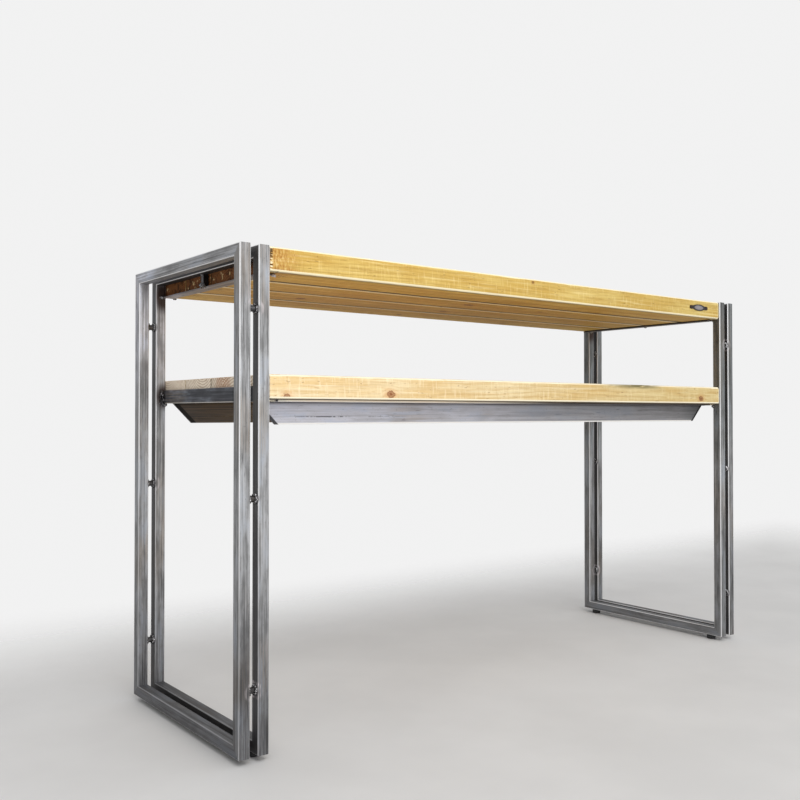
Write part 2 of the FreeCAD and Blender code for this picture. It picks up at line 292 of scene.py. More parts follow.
def painted_light_over_table(f, foot, patch):
    """Painted light and shade on a member over the table: darker towards the foot, lighter on the left end
    than the right, painted shade where the right end is sheltered and a painted pool of light high on the
    left end's rear posts.
    """
    right = f.x.rise(-0.2, 0.2)
    height = (f.z + (patch - 0.5) * 0.1).rise(0.0, 0.42).at_least(right * 0.4)
    tone = f.blend(height, (foot, foot, foot * 1.02), (1.0, 1.0, 1.0))
    tone = f.tinted(tone, f.blend(right, (1.09, 1.09, 1.10), (0.93, 0.93, 0.93)))
    sheltered = f.x.rise(0.5, 0.58) * f.z.rise(0.35, 0.6)
    tone = f.blend(sheltered, tone, f.tinted(tone, (0.64, 0.66, 0.65)))
    lit = f.y.rise(0.1, 0.15) * f.x.rise(-0.58, -0.6) * (f.z + (patch - 0.5) * 0.06).rise(0.56, 0.66)
    return f.blend(lit, tone, f.tinted(tone, (1.42, 1.43, 1.50)))


# foot sets how dark the painted shade is at a member's foot.
def raw_steel(
    name, axis, dark, light, levels=(), rough=0.36, metal=0.8, marks=None, worn=1.0, foot=0.5, stark=1.0
):
    """Raw drawn steel under clear lacquer: streaks with the metal, coloured scale, heat by its welds."""
    f = Finish(name)
    turned = f.facing()
    streak = f.cloud(drawn_out(f, axis, 420, 0.018), 1.0, 4.0, 0.62)
    hair = f.cloud(drawn_out(f, axis, 1500, 0.012), 1.0, 2.0, 0.6)
    band = f.cloud(f.shifted(drawn_out(f, axis, 190, 0.022), (3.0, 8.0, 2.0)), 1.0, 1.0, 0.4)
    patch = f.cloud(drawn_out(f, axis, 38, 0.3), 1.0, 4.0, 0.62)
    drift = f.cloud(f.shifted(drawn_out(f, axis, 11, 0.5), (7.0, 3.0, 5.0)), 1.0, 2.0, 0.5)
    speck = f.cloud(drawn_out(f, axis, 380, 0.45), 1.0, 3.0, 0.7)
    scratch = f.cloud(f.shifted(drawn_out(f, axis, 640, 0.045), (1.0, 9.0, 4.0)), 1.0, 1.0, 0.5)
    tone = ((streak - 0.5) * 1.5 + (patch - 0.5) * 1.5 + (hair - 0.5) * 0.6) * stark + 0.5
    scaled = f.coats(
        f.blend(tone.rise(0.1, 0.9), dark, light),
        (patch.rise(0.48, 0.66) * 0.5, (0.36, 0.40, 0.46)),
        (drift.rise(0.5, 0.64) * streak.rise(0.38, 0.6) * 0.5, (0.33, 0.265, 0.20)),
    )
    colour = f.coats(
        scaled,
        (band.rise(0.53, 0.6) * 0.55 * stark, f.tinted(scaled, (0.5, 0.49, 0.48))),
        (speck.rise(0.62, 0.72) * 0.55, (0.10, 0.095, 0.09)),
        (scratch.rise(0.72, 0.78) * 0.7, (0.06, 0.06, 0.065)),
    )
    # Painted light and shade by place over the table.
    colour = f.tinted(colour, painted_light_over_table(f, foot, patch))
    # Rounded corners near white: partly real polish, partly a painted highlight that fades towards the floor
    # except on the right; worn scales both.
    corner = f.roundness()
    high = f.z.rise(0.12, 0.55).at_least(f.x.rise(-0.2, 0.2) * 0.8)
    polish_and_highlight = corner * (0.68 + 0.42 * streak) * (0.25 + 0.75 * high) * worn
    # Painted shade under the top rails, darker on the inner frame's.
    under = turned[2].rise(-0.7, -0.93) * f.z.rise(0.765, 0.775)
    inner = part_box("right_inner_front_post")[1].x
    nearer = abs(f.x).rise(inner + 0.004, inner)
    colour = f.coats(
        colour,
        # painted shade on the faces inside the narrow gap between an end's two frames
        (gap_share(f) * 0.74, (0.06, 0.056, 0.056)),
        (polish_and_highlight, (0.98, 0.98, 0.99)),
        (under * (0.45 + 0.5 * nearer), (0.035, 0.03, 0.028)),
        (soot(f, turned) * 0.93, f.blend(patch, (0.02, 0.017, 0.016), (0.10, 0.05, 0.03))),
    )
    if levels:
        spot, ring = weld_halo(f, levels, patch)
        arc = ring * drift.rise(0.5, 0.62) * streak.rise(0.4, 0.6)
        colour = f.coats(colour, (arc * 0.6, (0.80, 0.73, 0.76)), (spot * 0.65, (0.10, 0.09, 0.095)))
    if marks is not None:
        colour = marks(f, colour, turned, streak)
    gloss = rough + 0.2 * streak + 0.14 * patch - 0.12 * corner * worn
    relief = 0.5 * streak + 0.3 * hair + 0.35 * speck - 0.5 * scratch.rise(0.7, 0.78)
    return f.finish(colour, gloss, relief, 0.0002, 0.6, metal - 0.15 * speck.rise(0.6, 0.75) - 0.4 * polish_and_highlight)


def bead_steel():
    """Weld metal: rippled dark grey, blue-black in the hollows, with bright silver crowns and a painted
    highlight on its slanting sides.
    """
    f = Finish("weld_bead", Coat_Weight=0.8, Coat_Roughness=0.08)
    fine = f.cloud(f.place, 900, 3.0, 0.6)
    patch = f.cloud(f.place, 260, 3.0, 0.5)
    crown = f.cloud(f.place, 520, 2.0, 0.6)
    nx, ny, _ = f.facing()
    grey = f.blend(fine.rise(0.3, 0.7), (0.022, 0.022, 0.026), (0.12, 0.115, 0.115))
    burnt = f.blend(patch.rise(0.45, 0.6) * 0.7, grey, (0.022, 0.02, 0.026))
    painted_glint = abs(nx).near(0.72, 0.16) * abs(ny).rise(0.3, 0.5) * patch.rise(0.44, 0.54)
    bright = f.blend(crown.rise(0.58, 0.66).at_least(painted_glint), burnt, (0.95, 0.94, 0.96))
    return f.finish(bright, 0.18 + 0.35 * fine, fine + patch * 0.6, 0.00025, 0.8, 0.9 - 0.2 * patch)


def painted_highlight_bead():
    """Weld metal painted silvery white as a highlight, with pinkish and brown heat."""
    f = Finish("painted_highlight_weld")
    fine = f.cloud(f.place, 900, 3.0, 0.6)
    patch = f.cloud(f.place, 420, 3.0, 0.5)
    grey = f.blend(fine.rise(0.3, 0.7), (0.42, 0.40, 0.40), (0.93, 0.90, 0.90))
    tinted = f.blend(patch.rise(0.48, 0.62) * 0.6, grey, (0.34, 0.20, 0.17))
    return f.finish(tinted, 0.3 + 0.3 * fine, fine + patch * 0.5, 0.0002, 0.7, 0.45 - 0.3 * patch)


def screw_steel(name, bright):
    """Plated steel, yellowed and dull in patches; the dull kind is nearly black."""
    f = Finish(name)
    fine = f.cloud(f.place, 1400, 3.0, 0.6)
    patch = f.cloud(f.place, 240, 2.0, 0.5)
    light = (0.62 * bright, 0.60 * bright, 0.55 * bright)
    dull = (0.42 * bright, 0.38 * bright, 0.33 * bright)
    colour = f.blend(patch.rise(0.4, 0.7), light, dull)
    spotted = f.blend(fine.rise(0.6, 0.75) * 0.5, colour, (0.2 * bright, 0.19 * bright, 0.17 * bright))
    return f.finish(spotted, 0.3 + 0.3 * fine, fine, 0.00005, 0.4, 0.9 - 0.1 * fine)


def foot_rubber():
    """Black moulded plastic with a fine texture and scuffs on its rim."""
    f = Finish("black_plastic", Specular_IOR_Level=0.45)
    grain = f.cloud(f.place, 2200, 2.0, 0.6)
    scuff = f.cloud(f.scaled(f.place, (300, 300, 900)), 1.0, 3.0, 0.6)
    colour = f.blend(scuff.rise(0.56, 0.75) * 0.6, (0.012, 0.012, 0.013), (0.06, 0.058, 0.056))
    return f.finish(colour, 0.42 + 0.25 * grain, grain, 0.00006, 0.6)


def plate_metal(name, base, worn_tone):
    """Blackened metal with paler rubbed patches, a pale grey middle fading out to a dark rim, and dark ears.
    """
    f = Finish(name)
    brushed = f.cloud(drawn_out(f, "x", 1800, 0.05), 1.0, 3.0, 0.6)
    patch = f.cloud(f.place, 520, 3.0, 0.6)
    rubbed = (patch + (brushed - 0.5) * 0.4).rise(0.42, 0.68)
    colour = f.blend(rubbed * 0.45, base, worn_tone)
    low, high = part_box("nameplate")
    aside = (f.x - (low.x + high.x) / 2) / ((high.x - low.x) / 2)
    above = (f.z - (low.z + high.z) / 2) / ((high.z - low.z) / 2)
    out = (aside * aside * 2.0 + above * above) ** 0.5
    rimmed = f.blend(out.rise(0.62, 0.78), f.blend(1.0 - out * 0.6, colour, (0.36, 0.33, 0.34)), base)
    ears = f.blend(abs(aside).rise(0.66, 0.76), rimmed, (0.035, 0.018, 0.012))
    return f.finish(ears, 0.34 + 0.25 * brushed, brushed, 0.00005, 0.5, 0.55 - 0.15 * patch)


# --- pine --------------------------------------------------------------------


def knots_in(places, run, side, ripple, grit):
    """The knots of a plank: how far they push the rings outward, their eyes and their warm surrounds."""
    push, eyes, halos = 0.0, None, None
    for along, across, lean, radius in places:
        turn = math.radians(lean)
        aside = side[0] * math.sin(turn) + side[1] * math.cos(turn) - across
        ahead = run - along
        gap = (ahead * ahead * 0.55 + aside * aside) ** 0.5
        gap = gap + (ripple - 0.5) * radius * 2.0 + (grit - 0.5) * radius * 1.2
        push = push + gap.rise(radius * 3.6, 0.0) * radius * 1.5
        rings = (gap * (2 * math.pi / KNOT_RINGS)).wave().rise(-0.7, 0.9)
        eye = gap.rise(radius * 1.1, radius * 0.7) * (0.5 + 0.35 * rings + 0.3 * gap.rise(radius * 0.4, 0.0))
        eye = eye.at_least(gap.near(radius * 0.95, radius * 0.3) * 0.85).at_most(1.0)
        halo = gap.rise(radius * 3.0, radius * 0.9)
        eyes = eye if eyes is None else eyes.at_least(eye)
        halos = halo if halos is None else halos.at_least(halo)
    return push, eyes, halos


def pine(name, middle, size, look):
    """Lacquered pine cut from one log: rings round a wandering pith, knots, fibres and saw marks."""
    f = Finish(name, Specular_IOR_Level=0.16)
    rng = random.Random(look["seed"])
    turned = (rng.uniform(0, 40), rng.uniform(0, 40), rng.uniform(0, 40))
    local = f.shifted(f.place, tuple(-c for c in middle))
    lx, ly, lz = f.split(local)
    nx, ny, nz = f.facing()

    def veil(factors, detail=3.0, rough=0.6, out=0, place=local):
        return f.cloud(f.shifted(f.scaled(place, factors), turned), 1.0, detail, rough, out)

    wx, wy, wz = f.split(veil((1.5, 2.5, 2.5), 2.0, 0.45, 1))
    across = ly - look["pith"][0] + (wy - 0.5) * 0.034
    height = lz - look["pith"][1] + (wz - 0.5) * 0.034
    slanted = f.join(lx + lz * 0.05, ly, lz)
    ripple = veil((11, 70, 70))
    grit = veil((260, 320, 320), 3.0, 0.65)
    width = veil((1.2, 12, 12), 2.0, 0.5)
    fibre = veil((14, 900, 900), 3.0, 0.65)
    streak = veil((7, 210, 210), 4.0, 0.6)
    dash = veil((34, 300, 300), 3.0, 0.6)
    blotch = veil((7, 30, 30), 3.0, 0.55)
    saw = veil((260, 36, 36), 3.0, 0.6, 0, slanted)
    fine_saw = veil((620, 60, 60), 2.0, 0.6, 0, slanted)
    pits = veil((70, 420, 420), 2.0, 0.5)
    push, knot_eye, knot_halo = knots_in(look["knots"], lx, (ly, lz), ripple, grit)
    reach = (across * across + height * height) ** 0.5 + (ripple - 0.5) * 0.0045 + push
    year = (reach / look["ring"] + (wx - 0.5) * 2.0).part()
    late = year.rise(0.42, 0.9) * year.rise(1.0, 0.93)
    grown = f.coats(
        f.blend(blotch.rise(0.34, 0.66), look["early"], look["amber"]),
        (late * (0.16 + 0.42 * width.rise(0.3, 0.7)), look["late"]),
        (streak.rise(0.5, 0.72) * 0.42, look["late"]),
        (streak.rise(0.48, 0.3) * 0.55, look["pale"]),
        (dash.rise(0.55, 0.7) * 0.34, look["late"]),
    )
    fibred = f.tinted(grown, f.ramp(fibre, [(0.3, (0.55, 0.5, 0.45)), (0.66, (1.0, 1.0, 1.0))]), 0.3)
    marks = (saw.rise(0.52, 0.68) * 0.6 + fine_saw.rise(0.54, 0.7) * 0.4) * width.rise(0.32, 0.62)
    sawn = f.coats(
        fibred,
        (marks * 0.5, look["late"]),
        (saw.rise(0.46, 0.32) * 0.3, look["pale"]),
        (knot_halo * (0.2 + 0.5 * grit), look["knot_halo"]),
        (knot_eye, look["knot"]),
        (pits.rise(0.67, 0.76) * 0.6, look["knot"]),
    )
    # Painted light: lighter at the left end, falling off towards the right.
    painted_falloff_tint = f.blend((lx + (blotch - 0.5) * 0.3).rise(-0.58, 0.5), look["near"], look["far"])
    painted_falloff_tone = f.tinted(sawn, painted_falloff_tint)
    end = abs(nx).rise(0.75, 0.95)
    long_face = 1 - end
    upper = (lz + (ripple - 0.5) * 0.02).rise(size[2] * 0.1, size[2] * 0.5)
    splinter = veil((110, 110, 110), 2.0, 0.5).rise(0.64, 0.7) * lz.rise(size[2] * 0.2, -size[2] * 0.2)
    heart_y, heart_z, heart_radius = look["heart"]
    off_y, off_z = ly - heart_y, lz - heart_z
    off_heart = (off_y * off_y + off_z * off_z) ** 0.5 + (ripple - 0.5) * 0.01
    heart_rings = (off_heart * (2 * math.pi / HEART_RINGS)).wave().rise(-0.6, 0.8)
    heart = off_heart.rise(heart_radius, heart_radius * 0.5) * (0.1 + 0.9 * heart_rings)
    end_grain = f.coats(
        f.blend(late * (0.45 + 0.55 * width), look["end_early"], look["end_late"]),
        (veil((90, 75, 75), 4.0, 0.65).rise(0.46, 0.66) * look["end_spots"], look["end_dark"]),
        (upper * look["end_shade"], look["end_dark"]),
        (splinter * look["splinters"], look["fleck"]),
        (heart * 0.85, (0.44, 0.17, 0.06)),
    )
    from_left = lx + size[0] / 2
    from_front = ly + size[1] / 2
    from_rear = size[1] / 2 - ly
    from_below = lz + size[2] / 2
    wavy = (blotch - 0.5) * 0.05 + (streak - 0.5) * 0.10 + (saw - 0.5) * 0.05
    stain = (from_left - look["stain"] + wavy).rise(0.03, -0.012) * long_face * look["outer"]
    ticks = veil((420, 130, 130), 3.0, 0.65, 0, slanted)
    chip = from_left.rise(0.0062, 0.003) * long_face * look["chips"] * look["outer"]
    teeth = veil((60, 420, 420), 2.0, 0.6)
    worked = f.coats(
        painted_falloff_tone,
        (end, end_grain),
        (stain * (0.25 + 0.6 * dash), look["stain_tone"]),
        (stain * ticks.rise(0.5, 0.62) * 0.55, look["stain_dark"]),
        (stain * ticks.rise(0.45, 0.36) * 0.5, look["pale"]),
        (chip * teeth.rise(0.5, 0.56) * 0.85, look["end_dark"]),
        (chip * teeth.rise(0.48, 0.42) * 0.85, look["edge"]),
    )
    below = nz.rise(-0.7, -0.93)
    underside = f.blend(veil((2.2, 85, 85), 3.0, 0.6).rise(0.42, 0.64) * 0.5, worked, look["late"])
    # Forward-facing arrises pale: partly sanded-through wood, partly a painted highlight; the other planks'
    # arrises facing down get a deeper golden tone.
    round_share = f.roundness() * long_face
    corner = round_share * ny.rise(0.15, -0.2)
    faced = ny.rise(-0.06, -0.25) * long_face
    hidden_edge = nz.rise(-0.3, -0.6) * (1 - look["outer"])
    arris_wear_and_highlight = f.blend(hidden_edge, look["edge"], (0.95, 0.68, 0.30))
    # lip holds the heights of the painted shade line and the painted highlight band at the bottom of the
    # front face. The edge colour goes on as painted highlights along that band and on the underside just
    # behind each seam; the front faces' right ends take it too.
    foot_level, lip_level = look["lip"]
    lip = from_below.rise(lip_level + 0.0007, lip_level) * faced * look["outer"]
    behind = from_front.rise(0.0105, 0.008) * below * (1 - look["outer"])
    tail = (size[0] / 2 - lx).rise(0.005, 0.0015) * faced
    spread = (lx - SMUDGE_RIGHT + (blotch - 0.5) * 0.1).near(0.0, 0.13)
    smudge = lz.rise(size[2] * 0.2, size[2] * 0.42) * spread * look["smudge"] * faced.at_least(round_share)
    # Painted shade line along the bottom of the shelf's front face.
    foot = from_below.rise(foot_level + 0.0004, foot_level - 0.0002) * faced * look["outer"]
    # Painted shade in the seams: on the underside along each plank's rear edge, and in the crease of its
    # rear arris.
    seam_shade = from_rear.rise(look["seam_shade"] + 0.002, look["seam_shade"] - 0.001) * below
    crease = from_rear.rise(0.003, 0.002) * abs(nz).rise(0.25, 0.7)
    joint = from_rear.rise(0.0032, 0.0018) * end * look["seam"]
    # Painted shade on the sides of the middle planks, inside the seams.
    side = abs(ny).rise(0.8, 0.95) * (1 - round_share) * look["inner"]
    # Painted shade on the underside beside each bearer's inner edge.
    under_bar = (abs(lx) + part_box("left_top_bearer")[1].x).near(0.0, 0.0042) * below * look["bar"]
    scorch = (lx + SCORCH_LEFT).near(0.0, 0.022) * from_front.near(0.038, 0.02) * below
    scorch = scorch * ticks.rise(0.46, 0.56) * look["bar"]
    # Painted shade under the shelf's front plank at its left end.
    shelf_corner = from_left.rise(0.042, 0.032) * from_front.rise(0.13, 0.115)
    shelf_corner = shelf_corner * below * look["outer"] * (1 - look["bar"])
    # Painted shade line on the top's underside just behind its front arris.
    behind_lip = below * from_front.rise(0.012, 0.0095) * look["outer"] * look["bar"]
    seam = (seam_shade.at_least(crease) * look["seam"]).at_least(joint * 0.8)
    seam = seam.at_least(shelf_corner).at_least(behind_lip * 0.5)
    # One dark tone over all of it: painted shade, the dark joints on the end grain and the scorch by the
    # left bearer's weld.
    painted_shade_and_marks = (foot * 0.95).at_least(seam * 0.9).at_least(side * 0.95)
    painted_shade_and_marks = painted_shade_and_marks.at_least(under_bar * 0.85).at_least(scorch * 0.6)
    colour = f.coats(
        worked,
        (below, f.tinted(underside, look["under"])),
        (corner * (0.8 + 0.2 * (1 - late)), arris_wear_and_highlight),
        ((lip * 0.92).at_least(behind * 0.8).at_least(tail * 0.6), look["edge"]),
        (smudge * dash.rise(0.28, 0.48), (0.20, 0.17, 0.075)),
        (painted_shade_and_marks, look["painted_shade_and_marks"]),
    )
    gloss = 0.46 + 0.14 * fibre + 0.08 * late + 0.2 * end - 0.1 * corner
    relief = saw * 0.45 + fine_saw * 0.25 + fibre * 0.35 + (1 - late) * 0.15 + streak * 0.4
    return f.finish(colour, gloss, relief, 0.00045, 0.55)


GOLD = {
    "ring": 0.0042,
    "early": (0.75, 0.55, 0.165),
    "amber": (0.66, 0.43, 0.10),
    "late": (0.42, 0.235, 0.05),
    "pale": (0.92, 0.75, 0.34),
    "edge": (1.0, 0.90, 0.62),
    "knot": (0.17, 0.075, 0.022),
    # near and far: the painted light at the left end and its falloff towards the right
    "near": (1.05, 1.03, 1.02),
    "far": (0.95, 0.97, 1.02),
    "under": (1.10, 1.03, 0.80),
    "painted_shade_and_marks": (0.035, 0.02, 0.008),
    "end_early": (0.30, 0.12, 0.04),
    "end_late": (0.13, 0.045, 0.016),
    "end_dark": (0.03, 0.014, 0.008),
    "end_shade": 0.7,
    "end_spots": 0.8,
    "splinters": 1.0,
    "chips": 1.0,
    "seam_shade": 0.0095,
    "heart": NO_HEART,
    "knot_halo": (0.45, 0.20, 0.05),
    "fleck": (0.78, 0.58, 0.30),
    "stain": 0.032,
    "stain_tone": (0.56, 0.27, 0.06),
    "stain_dark": (0.30, 0.10, 0.02),
    "smudge": 0.0,
    "lip": (-0.001, 0.0036),
    "bar": 1.0,
}
CREAM = {
    "ring": 0.0046,
    "early": (0.84, 0.68, 0.385),
    "amber": (0.78, 0.56, 0.255),
    "late": (0.58, 0.36, 0.13),
    "pale": (0.95, 0.82, 0.55),
    "edge": (1.0, 0.92, 0.70),
    "knot": (0.22, 0.065, 0.02),
    # near and far: the painted light at the left end and its falloff towards the right
    "near": (1.15, 1.18, 1.32),
    "far": (0.87, 0.85, 0.72),
    "under": (0.93, 0.84, 0.80),
    "painted_shade_and_marks": (0.05, 0.032, 0.016),
    "end_early": (0.98, 0.86, 0.70),
    "end_late": (0.40, 0.25, 0.15),
    "end_dark": (0.42, 0.25, 0.13),
    "end_shade": 0.0,
    "end_spots": 0.22,
    "splinters": 0.0,
    "chips": 0.0,
    "seam_shade": 0.004,
    "heart": NO_HEART,
    "knot_halo": (0.66, 0.33, 0.12),
    "fleck": (1.0, 0.95, 0.85),
    "stain": -0.2,
    "stain_tone": (0.55, 0.30, 0.10),
    "stain_dark": (0.3, 0.12, 0.04),
    "smudge": 0.0,
    "lip": (0.0016, 0.0042),
    "bar": 0.0,
}


def plank_looks():
    """What sets each plank apart: pith, ring width and knots (along, across, lean, radius)."""
    looks = {}
    rng = random.Random(71)
    for layer, base in (("top", GOLD), ("shelf", CREAM)):
        for place in LAYERS:
            knots = []
            for _ in range(rng.choice((2, 3))):
                lean = rng.choice((0, 90, 60))
                along, across = rng.uniform(-0.52, 0.52), rng.uniform(-0.012, 0.012)
                knots.append((along, across, lean, rng.uniform(0.0035, 0.007)))
            look = dict(base)
            look["seed"] = rng.randrange(10000)
            look["pith"] = (rng.uniform(-0.04, 0.04), rng.choice((-1, 1)) * rng.uniform(0.03, 0.07))
            look["ring"] = base["ring"] * rng.uniform(0.85, 1.2)
            look["knots"] = knots
            look["outer"] = 1.0 if place == "front" else 0.0
            look["seam"] = 0.0 if place == "rear" else 1.0
            look["inner"] = 1.0 if place in ("mid_front", "mid_rear") else 0.0
            looks[f"{layer}_plank_{place}"] = look
    looks["top_plank_front"]["knots"] = [(-0.02, 0.013, 0, 0.0022)]
    looks["top_plank_mid_rear"]["knots"][0] = (-0.387, 0.004, 90, 0.006)
    shelf = looks["shelf_plank_front"]
    shelf["knots"] = [(-0.573, -0.015, 0, 0.005), (-0.367, -0.0085, 0, 0.005), (0.531, -0.0075, 0, 0.0055)]
    shelf["smudge"] = 1.0
    looks["top_plank_front"]["seam_shade"] = 0.013
    looks["shelf_plank_mid_front"]["heart"] = (0.004, 0.006, 0.036)
    return looks


# --- shapes ------------------------------------------------------------------


def add_piece(name, mesh, body, material, stands_for=None):
    """A finished mesh as a piece on its body, standing for a frame part where one is named."""
    piece = bpy.data.objects.new(name, mesh)
    bpy.context.scene.collection.objects.link(piece)
    mesh.materials.append(material)
    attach(piece, body)
    if stands_for:
        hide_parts(stands_for)


def mesh_from(name, points, faces, smooth=35):
    """A mesh with faces turned outward, smooth except across edges sharper than the angle."""
    mesh = bpy.data.meshes.new(name)
    mesh.from_pydata([tuple(p) for p in points], [], faces)
    shape = bmesh.new()
    shape.from_mesh(mesh)
    bmesh.ops.recalc_face_normals(shape, faces=shape.faces)
    for face in shape.faces:
        face.smooth = True
    shape.to_mesh(mesh)
    shape.free()
    mesh.set_sharp_from_angle(angle=math.radians(smooth))
    return mesh


def skin(rings):
    """Points and faces of a closed skin through rings of equal length, with a face over each end."""
    points = [p for ring in rings for p in ring]
    count = len(rings[0])
    faces = []
    for row in range(len(rings) - 1):
        for i in range(count):
            j = (i + 1) % count
            faces.append((row * count + i, row * count + j, (row + 1) * count + j, (row + 1) * count + i))
    faces.append(tuple(range(count - 1, -1, -1)))
    last = (len(rings) - 1) * count
    faces.append(tuple(range(last, last + count)))
    return points, faces


def section(low, high, radii, inset=0.0):
    """A rounded rectangle in Y and Z: rows of y, z, outward y and z, and share of corner."""
    y0, z0, y1, z1 = low[1] + inset, low[2] + inset, high[1] - inset, high[2] - inset
    corners = ((y0, z0, 1, 1, 180), (y1, z0, -1, 1, 270), (y1, z1, -1, -1, 0), (y0, z1, 1, -1, 90))
    outline = []
    for index, ((y, z, sy, sz, start), radius) in enumerate(zip(corners, radii)):
        cy = y + sy * radius
        cz = z + sz * radius
        for step in range(6):
            angle = math.radians(start + 18 * step)
            oy, oz = math.cos(angle), math.sin(angle)
            corner = 1 - abs(step - 2.5) / 4.5
            outline.append((cy + oy * radius, cz + oz * radius, oy, oz, corner))
        after = (index + 1) % 4
        ny, nz, ay, az, _ = corners[after]
        target = (ny + ay * radii[after], nz + az * radii[after])
        angle = math.radians(start + 90)
        oy, oz = math.cos(angle), math.sin(angle)
        begin_y, begin_z = outline[-1][0], outline[-1][1]
        end_y = target[0] + oy * radii[after]
        end_z = target[1] + oz * radii[after]
        parts = 9 if abs(end_y - begin_y) > abs(end_z - begin_z) else 5
        for step in range(1, parts):
            t = step / parts
            outline.append((begin_y + (end_y - begin_y) * t, begin_z + (end_z - begin_z) * t, oy, oz, 0.0))
    return outline


def plank(node, seed, radii, material):
    """A sawn and sanded plank: flats a little uneven, arrises eased and nicked, ends broken at the edges."""
    low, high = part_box(node)
    inner = 0.0008
    count = 170
    places = [low.x, low.x + inner * 0.4, low.x + inner * 1.4]
    places += [low.x + 0.004 + (high.x - low.x - 0.008) * i / count for i in range(count + 1)]
    places += [high.x - inner * 1.4, high.x - inner * 0.4, high.x]
    insets = [0.0009, 0.0003, 0.00008] + [0.0] * (count + 1) + [0.00008, 0.0003, 0.0009]
    rings = []
    for x, inset in zip(places, insets):
        ring = []
        to_end = min(x - low.x, high.x - x)
        for y, z, oy, oz, corner in section(low, high, radii, inset):
            broad = noise.noise(Vector((x * 4, y * 9, z * 9 + seed)))
            fine = noise.noise(Vector((x * 60, y * 40, z * 40 + seed)))
            depth = 0.00012 * (1 + broad) + 0.00004 * (1 + fine)
            if corner:
                nick = noise.noise(Vector((x * 75, seed * 3.1 + oy * 2, oz * 2)))
                dent = noise.noise(Vector((x * 14, seed * 5.7 + oy, oz)))
                worn = 1.0 + 1.6 * max(0.0, 1 - to_end / 0.05)
                depth += corner * worn * (max(0.0, nick - 0.38) * 0.0026 + max(0.0, dent - 0.25) * 0.0012)
            ring.append((x, y - oy * depth, z - oz * depth))
        rings.append(ring)
    mesh = mesh_from(node + "_wood", *skin(rings), smooth=40)
    add_piece(node + "_wood", mesh, "root", material, node)


def bead(start, end, radius, seed, lumps=0.35, sides=12):
    """A run of weld from start to end as rings: rippled, lumpy, and tapered shut at both ends."""
    run = end - start
    length = run.length
    ahead = run.normalized()
    aside = ahead.orthogonal().normalized()
    above = ahead.cross(aside)
    count = max(8, int(length / 0.0006))
    rings = []
    for i in range(count + 1):
        t = i / count
        swell = math.sin(math.pi * min(1, max(0, 0.5 + (t - 0.5) * 1.0))) ** 0.35
        ripple = 1 + 0.14 * math.sin(t * length / 0.0016 * 2 * math.pi)
        ring = []
        centre = start + run * t
        for s in range(sides):
            angle = 2 * math.pi * s / sides
            out = aside * math.cos(angle) + above * math.sin(angle)
            lump = noise.noise(Vector(centre + out * radius) * 330 + Vector((seed, seed * 2, 0)))
            ring.append(centre + out * radius * max(0.12, swell) * ripple * (1 + lumps * lump))
        rings.append(ring)
    return skin(rings)


def ring_bead(centre, axis, radius, thick, seed, around=40, sides=10):
    """A lumpy ring of weld round a rod where it meets a face."""
    ahead = axis.normalized()
    aside = ahead.orthogonal().normalized()
    above = ahead.cross(aside)
    points = []
    faces = []
    for i in range(around):
        angle = 2 * math.pi * i / around
        out = aside * math.cos(angle) + above * math.sin(angle)
        middle = centre + out * radius
        lump = noise.noise(middle * 260 + Vector((seed, 0, seed)))
        puddle = 1 + 0.45 * lump + 0.16 * math.sin(angle * 11 + seed)
        for s in range(sides):
            turn = 2 * math.pi * s / sides
            rough = 1 + 0.2 * noise.noise(middle * 700 + Vector((s, seed, 0)))
            offset = out * math.cos(turn) + ahead * math.sin(turn)
            points.append(middle + offset * thick * puddle * rough)
        for s in range(sides):
            j = (i + 1) % around
            k = (s + 1) % sides
            faces.append((i * sides + s, i * sides + k, j * sides + k, j * sides + s))
    return points, faces


def gather(parts):
    """Several sets of points and faces as one."""
    points = []
    faces = []
    for some, sides in parts:
        start = len(points)
        points += list(some)
        faces += [tuple(start + i for i in face) for face in sides]
    return points, faces


def lathe(profile, turns, centre, shape=None):
    """A solid turned about the vertical through centre; shape(angle, radius, z) may change the radius."""
    rings = []
    for radius, z in profile:
        ring = []
        for i in range(turns):
            angle = 2 * math.pi * i / turns
            out = shape(angle, radius, z) if shape else radius
            ring.append(centre + Vector((out * math.cos(angle), out * math.sin(angle), z)))
        rings.append(ring)
    return skin(rings)


# --- the pieces --------------------------------------------------------------


def dress(node, material):
    """A frame part that keeps its own shape gets its finish."""
    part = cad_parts[node]
    part.data.materials.clear()
    part.data.materials.append(material)


def ease(node, width):
    """A small break on the sharp edges of a frame part."""
    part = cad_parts[node]
    weld = part.modifiers.new("one_skin", "WELD")
    weld.merge_threshold = 0.00001
    break_edge = part.modifiers.new("broken_edges", "BEVEL")
    break_edge.width = width
    break_edge.segments = 2
    break_edge.limit_method = "ANGLE"
    break_edge.angle_limit = math.radians(40)
    break_edge.harden_normals = True


def spacer_levels(side, end):
    low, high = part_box(f"{side}_{end}_spacers")
    radius = (high.y - low.y) / 2
    return radius, [low.z + radius, (low.z + high.z) / 2, high.z - radius]


def dress_tubes():
    levels = spacer_levels("left", "front")[1]
    post = raw_steel("drawn_tube_upright", "z", (0.20, 0.20, 0.20), (0.56, 0.565, 0.575), levels)
    rail = raw_steel("drawn_tube_level", "y", (0.26, 0.26, 0.265), (0.60, 0.605, 0.62), foot=0.32)
    for side in SIDES:
        for shell in ("outer", "inner"):
            for end in ENDS:
                dress(f"{side}_{shell}_{end}_post", post)
            for level in ("top", "bottom"):
                dress(f"{side}_{shell}_{level}_rail", rail)


